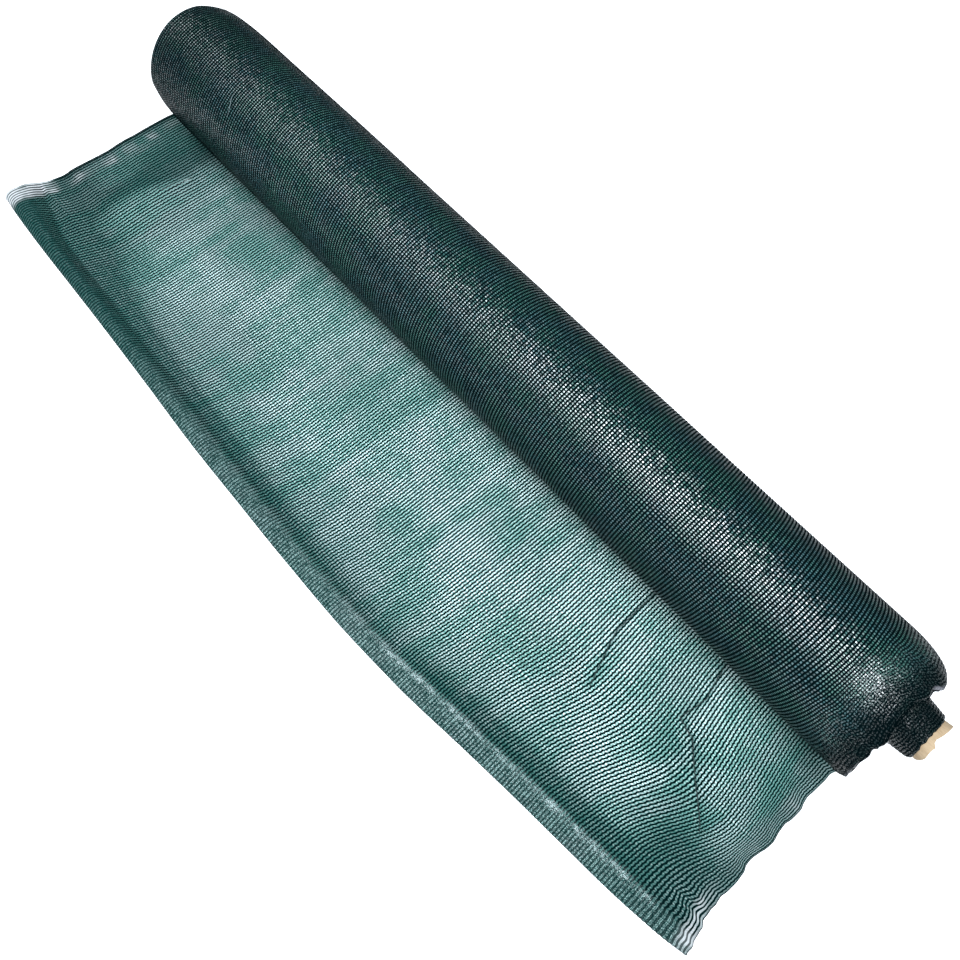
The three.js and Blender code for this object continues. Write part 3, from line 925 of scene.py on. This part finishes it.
def leanOffset(x, y):
    # how far a wale that leaves the roll at x has moved by the time it is out at y
    steps = np.arange(lean["from"], lean["to"], -lean["step"])
    offset = np.zeros((len(steps), len(x)))
    for i in range(1, len(steps)):
        rows = np.array([np.interp(x, lean["x"], row) for row in lean["share"]])
        here = np.array([np.interp(steps[i], lean["y"], rows[:, k]) for k in range(len(x))])
        offset[i] = offset[i - 1] - lean["step"] * here
    out = np.empty(y.shape)
    for k in range(len(x)):
        out[:, k] = np.interp(-y[:, k], -steps, offset[:, k])
    return out


def swellOnNet(x, y, groove):
    total = 0
    for px, py, reach, depth, height in netSwells:
        total = total + height * hump(x - px, reach) * hump(y - py, depth)
    return total * ease(-y, 20, 60) * (1 - ease(-y, -groove - 40, -groove))


def roundCorners(corners, steps):
    # a centripetal Catmull-Rom curve through the corners
    p = np.array(corners, float)
    p = np.vstack((2 * p[0] - p[1], p, 2 * p[-1] - p[-2]))
    out = []
    for i in range(1, len(p) - 2):
        apart = np.linalg.norm(np.diff(p[i - 1 : i + 3], axis=0), axis=1)
        knots = np.concatenate(([0], np.cumsum(apart**0.5)))
        t = np.linspace(knots[1], knots[2], steps, endpoint=False)[:, None]
        a = [
            (knots[k + 1] - t) / (knots[k + 1] - knots[k]) * p[i - 1 + k]
            + (t - knots[k]) / (knots[k + 1] - knots[k]) * p[i + k]
            for k in range(3)
        ]
        b = [
            (knots[k + 2] - t) / (knots[k + 2] - knots[k]) * a[k]
            + (t - knots[k]) / (knots[k + 2] - knots[k]) * a[k + 1]
            for k in range(2)
        ]
        span = knots[2] - knots[1]
        out.append((knots[2] - t) / span * b[0] + (t - knots[1]) / span * b[1])
    out.append(p[-2:-1])
    return np.vstack(out)


def distanceTo(x, y, points):
    nearest = np.full(x.shape, 1e9)
    for (ax, ay), (bx, by) in zip(points[:-1], points[1:]):
        t = np.clip(((x - ax) * (bx - ax) + (y - ay) * (by - ay)) / ((bx - ax) ** 2 + (by - ay) ** 2), 0, 1)
        nearest = np.minimum(nearest, np.hypot(x - ax - t * (bx - ax), y - ay - t * (by - ay)))
    return nearest


# Patches of painted shade on the loose net: x, y, reaches, how much.
netShades = (
    (480, -165, 60, 60, 0.5),
    (520, -230, 70, 60, 0.5),
    (-540, -120, 60, 60, 0.35),
    (-470, -250, 90, 50, 0.3),
    (-565, -262, 50, 46, 0.5),
)
netShadeSet = {
    # painted shade on the loose net: how much, and the places between which it fades
    "farEnd": (0.50, -545, -500),
    "farField": (0.20, -500, -330),
    "farHalf": (1.0, -330, -60),
    "farHalfByRoll": (0.16, -140, -80),
    "nearEnd": (0.45, 470, 560),
    "beforeGroove": (0.55, 8, 95),
    "farGroove": (0.25, -420, -200),
    "nearCorner": (0.4, 10, 60),
    "nearCornerTo": (1.0, 225, 265),
    "farFold": (0.70, -420, -60),
    # how much, the middle and the reach of a band
    "farLine": (0.35, -540, 24),
    "farGrooveBand": (1.0, 22, 26),
    "farHalfLeast": 0.06,
    "foldShare": 0.5,     # how much less of the shade falls on the doubled net
    "foldLight": 0.1,     # and how much lighter it is all along
    # the groove's own shade along the net, its middle and its width
    "groovePlaces": (-600, -250, 0, 200, 330, 500, 600),
    "grooveDark": (0.9, 0.85, 0.45, 0.30, 0.8, 0.8, 0.3),
    "grooveMiddle": 3,
    "grooveWidth": 13,
}

# The wales crowd together beside the near selvedge half-way out, and spread again by the fold: how far they
# lie from the selvedge at three places along it, for places that far in on the flat cloth.
nearCrowd = {
    "fade": (100, 430),
    "in": (0, 20, 40, 60, 100, 150),
    "y": (-50, -182, -275),
    "from": (
        (0, 16, 34, 53, 92, 143),
        (0, 10.5, 23, 38, 74, 127),
        (0, 21, 45, 67, 104, 151),
    ),
}


def crowdOffset(inward, y):
    held = np.minimum(inward, nearCrowd["in"][-1])
    rows = [np.interp(held, nearCrowd["in"], row) for row in nearCrowd["from"]]
    near, halfWay, out = (-place for place in nearCrowd["y"])
    first, second = ease(-y, near, halfWay), ease(-y, halfWay, out)
    at = rows[0] + (rows[1] - rows[0]) * first + (rows[2] - rows[1]) * second
    return (held - at) * fadeOut(inward, 1.0, *nearCrowd["fade"])


# Bare patches in the far selvedge: how far out, reach, how much.
farPatches = ((60, 30, 0.3), (102, 16, 0.6), (140, 15, 0.8), (174, 17, 0.9), (218, 34, 0.6))


selvedgeLooks = {
    # how much, and between which places in from the selvedge it fades
    "farBareTo": (1.0, 20, 28),
    "farDenseTo": (0.55, 7, 12),
    "nearBareTo": (1.0, 9, 22),
    # the same for places out from the roll along the selvedge
    "farBareFrom": (1.0, 248, 262),
    "farDenseOut": (1.0, 240, 256),
    "farEdgeOut": (0.9, 250, 262),
    "nearBareOut": (0.75, 225, 275),
    # how much, the middle and the reach: in from the far selvedge, and out along the near one
    "farPatchBand": (1.0, 18, 13),
    "nearBarePatch": (0.4, 118, 26),
    "nearBareLeast": 0.12,
    # how far in the thin dark line at each edge lies, and its width
    "farEdge": (3, 1.6),
    "nearEdge": (0.8, 1.1),
    "nearEdgeDark": 0.9,
}
# Where the fold's frayed stitches are painted bright as a highlight, and the painted highlight along the far
# crease.
foldLooks = {
    "double": (0.22, 0.38),          # shares of the fold's width between which it becomes double
    "frayedHighlightAt": 0.36,
    "frayedHighlightWidth": 0.12,
    "frayedHighlightLeast": 0.2,
    "frayedHighlightNear": (0.8, 40, 200),
    "frayedHighlightTo": (1.0, 540, 570),
    "frayedHighlightFrom": (1.0, -160, 40),
    "creaseHighlight": 0.8,
    "creaseHighlightWidth": 2.5,
}


# The loose net's painted shade, as a share, from the table and patches above.
def netShading(x, placed, y, fromGroove, s):
    # x is where a wale lies on the flat cloth, and placed is where it lies on the floor
    byRoll = s["farHalfLeast"] + fadeIn(y, *s["farHalfByRoll"])
    groove = np.interp(x, s["groovePlaces"], s["grooveDark"])
    shaded = fadeOut(placed, *s["farEnd"]) + fadeOut(placed, *s["farField"])
    shaded = shaded + byRoll * fadeOut(placed, *s["farHalf"])
    shaded = shaded + band(placed, *s["farLine"]) + fadeIn(x, *s["nearEnd"])
    shaded = shaded + groove * bell(fromGroove - s["grooveMiddle"], s["grooveWidth"])
    shaded = shaded + fadeOut(fromGroove, *s["beforeGroove"])
    shaded = shaded + fadeOut(x, *s["farGroove"]) * band(fromGroove, *s["farGrooveBand"])
    shaded = shaded + fadeOut(halfNet - x, *s["nearCorner"]) * fadeOut(-y, *s["nearCornerTo"])
    for px, py, reach, depth, dark in netShades:
        shaded = shaded + dark * hump(placed - px, reach) * hump(y - py, depth)
    return shaded


def foldFrayAndHighlights(x, placed, y, fold, s):
    # frayed stitches along the fold's top, painted bright as a highlight, and a painted highlight along the
    # short crease at the far end
    frayedHighlight = bell(fold - s["frayedHighlightAt"], s["frayedHighlightWidth"]) * (s["frayedHighlightLeast"] + fadeIn(x, *s["frayedHighlightNear"]))
    frayedHighlight = frayedHighlight * fadeOut(x, *s["frayedHighlightTo"]) * fadeIn(x, *s["frayedHighlightFrom"])
    fromCrease = distanceTo(placed, y, creases[2][0])
    return frayedHighlight + s["creaseHighlight"] * bell(fromCrease, s["creaseHighlightWidth"])


def bareAtSelvedges(inFar, inNear, out, s):
    # the far selvedge has bare patches inside its dense edge, and round the fold it is bare altogether
    patches = sum(amount * hump(out - place, reach) for place, reach, amount in farPatches)
    far = patches * band(inFar, *s["farPatchBand"])
    far = far + fadeIn(out, *s["farBareFrom"]) * fadeOut(inFar, *s["farBareTo"])
    near = s["nearBareLeast"] + fadeIn(out, *s["nearBareOut"]) + band(out, *s["nearBarePatch"])
    return far + fadeOut(inNear, *s["nearBareTo"]) * near


def darkAtSelvedges(inFar, inNear, out, s):
    farMiddle, farWidth = s["farEdge"]
    nearMiddle, nearWidth = s["nearEdge"]
    dark = fadeOut(inFar, *s["farDenseTo"]) * fadeOut(out, *s["farDenseOut"])
    dark = dark + bell(inFar - farMiddle, farWidth) * fadeOut(out, *s["farEdgeOut"])
    return dark + s["nearEdgeDark"] * bell(inNear - nearMiddle, nearWidth)


def netSections(across, s):
    # from the roll to the free edge, one section at each place across, as lines of y and height
    fold = readTable(freeFold, "x", across)
    sections = []
    for k, x in enumerate(across):
        groove, width = fold["groove"][k], fold["groove"][k] - fold["edge"][k]
        top = fold["height"][k] - s["lying"]
        y = np.linspace(s["start"], groove, s["fieldPoints"], endpoint=False)
        field = np.stack((y, s["lying"] + swellOnNet(x, y, groove)), axis=1)
        corners = [(groove - f * width, s["lying"] + (top - s["lying"]) * h) for f, h in foldSection]
        sections.append(np.vstack((field, roundCorners(corners, s["cornerSteps"]))))
    return spread(np.array(sections), np.linspace(0, 1, s["rows"] + 1))


def buildLoose(s):
    columns = 2 * knit["wales"] + 1
    across = np.linspace(-halfNet, halfNet, columns)
    lines, lengths = netSections(across, s)
    y, z = lines[..., 0].T, np.maximum(lines[..., 1].T, s["lying"])
    x = np.broadcast_to(across, y.shape)
    inward = halfNet - x
    farShare = fadeOut(x + halfNet, 1.0, 0, s["selvedgeReach"])
    nearShare = fadeOut(inward, 1.0, 0, s["selvedgeReach"])
    inner = (1 - farShare) * (1 - nearShare)
    far = readTable(farSelvedge, "out", -y)
    near = readTable(nearSelvedge, "out", -y)
    # a selvedge's short waves die out sooner than its long line does
    nearLine = np.interp(-y, nearLineSet["out"], nearLineSet["x"])
    wave = (near["x"] - nearLine) * fadeOut(inward, 1.0, *s["waveReach"])
    placed = x + inner * (leanOffset(across, y) + s["spread"] * x)
    placed = placed + farShare * (far["x"] + halfNet) + nearShare * (nearLine - halfNet) + wave
    placed = placed + crowdOffset(inward, y)
    placed = placed + sum(band(-y, *bend) for bend in nearBends) * band(inward, *s["bendBand"])
    z = z + farShare * far["lift"] + nearShare * near["lift"]
    gathered = 0
    for line, halfWidth, height, depth in creases:
        away = distanceTo(placed, y, line)
        z = z + height * bell(away, halfWidth)
        gathered = gathered + depth * bell(away, s["pulledShare"] * halfWidth)
    points = np.stack((placed, y, z), axis=-1)
    normal = gridNormals(points)
    points = points + normal * ribs(np.linspace(0, knit["wales"], columns))[None, :, None]
    points[..., 2] = np.maximum(points[..., 2], s["lowest"])
    piece = gridPiece("looseNet", points)
    # past its top the fold is double, and shaded less
    grooveAt, edgeAt = (np.interp(x, freeFold["x"], freeFold[key]) for key in ("groove", "edge"))
    fold = (grooveAt - y) / (grooveAt - edgeAt)
    folded = ease(fold, *foldLooks["double"])
    shaded = netShading(x, placed, y, y - grooveAt, netShadeSet) * (1 - netShadeSet["foldShare"] * folded)
    shaded = shaded + folded * (fadeOut(x, *netShadeSet["farFold"]) - netShadeSet["foldLight"])
    inFar, inNear = placed - far["x"], nearLine + wave - placed
    dark = gathered + darkAtSelvedges(inFar, inNear, -y, selvedgeLooks)
    addAttribute(piece, "gathered", np.clip(dark, 0, 1))
    addAttribute(piece, "open", np.clip(bareAtSelvedges(inFar, inNear, -y, selvedgeLooks), 0, 1))
    addAttribute(piece, "shaded", np.clip(shaded, 0, 1))
    addAttribute(piece, "folded", folded)
    addAttribute(piece, "frayedHighlight", foldFrayAndHighlights(x, placed, y, fold, foldLooks))
    return piece, lengths.mean()


loose, looseLength = buildLoose(looseSet)
loose.data.materials.append(looseKnitMaterial(looseKnitSet, round(looseLength / knit["stitch"])))
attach(loose, "root")
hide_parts("loose_net")
print("loose net made, cut length", round(looseLength))

# Two lines of stitches have pulled tight across the loose net and look like dark threads, and one bright
# thread has been snagged out of the wound net.
pulledSet = {
    "radius": 0.55,
    "step": 2.2,
    "jog": 0.9,           # to either side, from wale to wale
    "lift": 0.35,         # over the net
    "colour": (0.002, 0.012, 0.012, 1),
    "roughness": 0.6,
}
snagSet = {
    "radius": 0.3,
    "points": 12,
    "from": -452.0,
    "along": 10.0,
    "angle": 212.0,
    "round": 20.0,
    "sway": 1.2,
    "swayTurn": 7.0,
    "lift": 0.7,          # over the roll at its ends, and how much more in the middle
    "arch": 0.5,
    "colour": (0.16, 0.22, 0.23, 1),
    "roughness": 0.35,
}
threadSides = 5


def threadPiece(name, path, material, s):
    ahead = np.gradient(path, axis=0)
    ahead /= np.linalg.norm(ahead, axis=1, keepdims=True)
    side = np.cross(ahead, (0, 0, 1.0))
    side /= np.maximum(np.linalg.norm(side, axis=1, keepdims=True), 1e-6)
    up = np.cross(side, ahead)
    turn = np.linspace(0, 2 * np.pi, threadSides, endpoint=False)
    fromStart = np.arange(len(path))
    taper = np.sqrt(np.clip(np.minimum(fromStart, fromStart[::-1]) / 3, 0.15, 1))
    ring = side[None] * np.cos(turn)[:, None, None] + up[None] * np.sin(turn)[:, None, None]
    piece = gridPiece(name, path[None] + s["radius"] * taper[None, :, None] * ring, closed=True)
    piece.data.materials.append(material)
    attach(piece, "root")


def pulledPath(line, s):
    # along a crease, jogging from wale to wale, on top of the net
    line = np.array(line, float)
    length = np.concatenate(([0], np.cumsum(np.linalg.norm(np.diff(line, axis=0), axis=1))))
    at = np.arange(0, length[-1], s["step"])
    x, y = (np.interp(at, length, line[:, k]) for k in range(2))
    x = x + s["jog"] * chance.uniform(-1, 1, len(at))
    y = y + s["jog"] * chance.uniform(-1, 1, len(at))
    net = np.array([v.co[:] for v in loose.data.vertices]) / mm
    z = [net[np.argmin((net[:, 0] - a) ** 2 + (net[:, 1] - b) ** 2), 2] for a, b in zip(x, y)]
    return np.stack((x, y, np.array(z) + s["lift"]), axis=-1)


def snaggedPath(s):
    share = np.linspace(0, 1, s["points"])
    angle = s["angle"] + s["round"] * share + s["sway"] * np.sin(s["swayTurn"] * share)
    r = rollRadiusAt(angle) + s["lift"] + s["arch"] * np.sin(math.pi * share)
    a = np.radians(angle)
    return np.stack((s["from"] + s["along"] * share, r * np.sin(a), axisHeight - r * np.cos(a)), axis=-1)


def threadMaterial(name, s):
    n = Nodes(name)
    fibre = n.noise(n.place("Object", (1, 1, 1)), 900.0, 2.0)
    shade = n.mix(fibre, s["colour"], tuple(0.4 * c for c in s["colour"][:3]) + (1,))
    bumps = n.bump(fibre, 0.4, 0.0004)
    return n.finish(n.principled(shade, s["roughness"], bumps, Specular_IOR_Level=0.3))


darkThread = threadMaterial("darkThread", pulledSet)
brightThread = threadMaterial("brightThread", snagSet)
for name, crease in zip(("pulledStitchesA", "pulledStitchesB"), creases):
    threadPiece(name, pulledPath(crease[0], pulledSet), darkThread, pulledSet)
threadPiece("snaggedThread", snaggedPath(snagSet), brightThread, snagSet)
print("threads made")

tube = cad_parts["core_tube"]
tube.data.materials.clear()
tube.data.materials.append(cardboardMaterial(cardboardSet))

stageSet = {"floor": (0.88, 0.88, 0.88, 1), "size": 12.0, "sky": (0.84, 0.94, 1.0, 1), "skyStrength": 0.18}


def addStage(s):
    bpy.ops.object.select_all(action="DESELECT")
    bpy.ops.mesh.primitive_plane_add(size=s["size"], location=(0, 0, 0))
    floor = bpy.context.object
    floor.name = "floor"
    n = Nodes("floorPaint")
    floor.data.materials.append(n.finish(n.principled(s["floor"], 0.8, Specular_IOR_Level=0.2)))
    world = bpy.data.worlds.new("studio")
    scene.world = world
    world.use_nodes = True
    world.node_tree.nodes["Background"].inputs[0].default_value = s["sky"]
    world.node_tree.nodes["Background"].inputs[1].default_value = s["skyStrength"]


# A broad lamp from above and in front gives the long bright band on the roll, and two long ones add to it
# over the roll's near and far parts.
lampSet = {
    "colour": (0.90, 0.95, 1.0),
    "sun": {"towards": (0.055, -0.52, 0.85), "strength": 3.1, "angle": 34},
    "boxes": (
        # name, place, what it points at, size, power
        ("nearLamp", (0.30, -0.40, 1.56), (0.24, -0.04, 0.15), (1.25, 0.75), 50.0),
        ("farLamp", (-1.35, -0.68, 1.50), (-0.36, -0.04, 0.15), (1.9, 0.36), 26.0),
    ),
}


def addLamps(s):
    data = bpy.data.lights.new("overheadLamp", "SUN")
    data.energy, data.angle = s["sun"]["strength"], math.radians(s["sun"]["angle"])
    data.color = s["colour"]
    lamp = bpy.data.objects.new("overheadLamp", data)
    lamp.location = Vector(s["sun"]["towards"]) * 2
    lamp.rotation_euler = Vector(s["sun"]["towards"]).to_track_quat("Z", "Y").to_euler()
    scene.collection.objects.link(lamp)
    for name, place, aim, size, power in s["boxes"]:
        data = bpy.data.lights.new(name, "AREA")
        data.shape, data.size, data.size_y, data.energy = "RECTANGLE", size[0], size[1], power
        data.color = s["colour"]
        lamp = bpy.data.objects.new(name, data)
        lamp.location = place
        lamp.rotation_euler = (Vector(place) - Vector(aim)).to_track_quat("Z", "Y").to_euler()
        scene.collection.objects.link(lamp)


addStage(stageSet)
addLamps(lampSet)
scene.view_settings.view_transform = "Standard"
print("stage set")
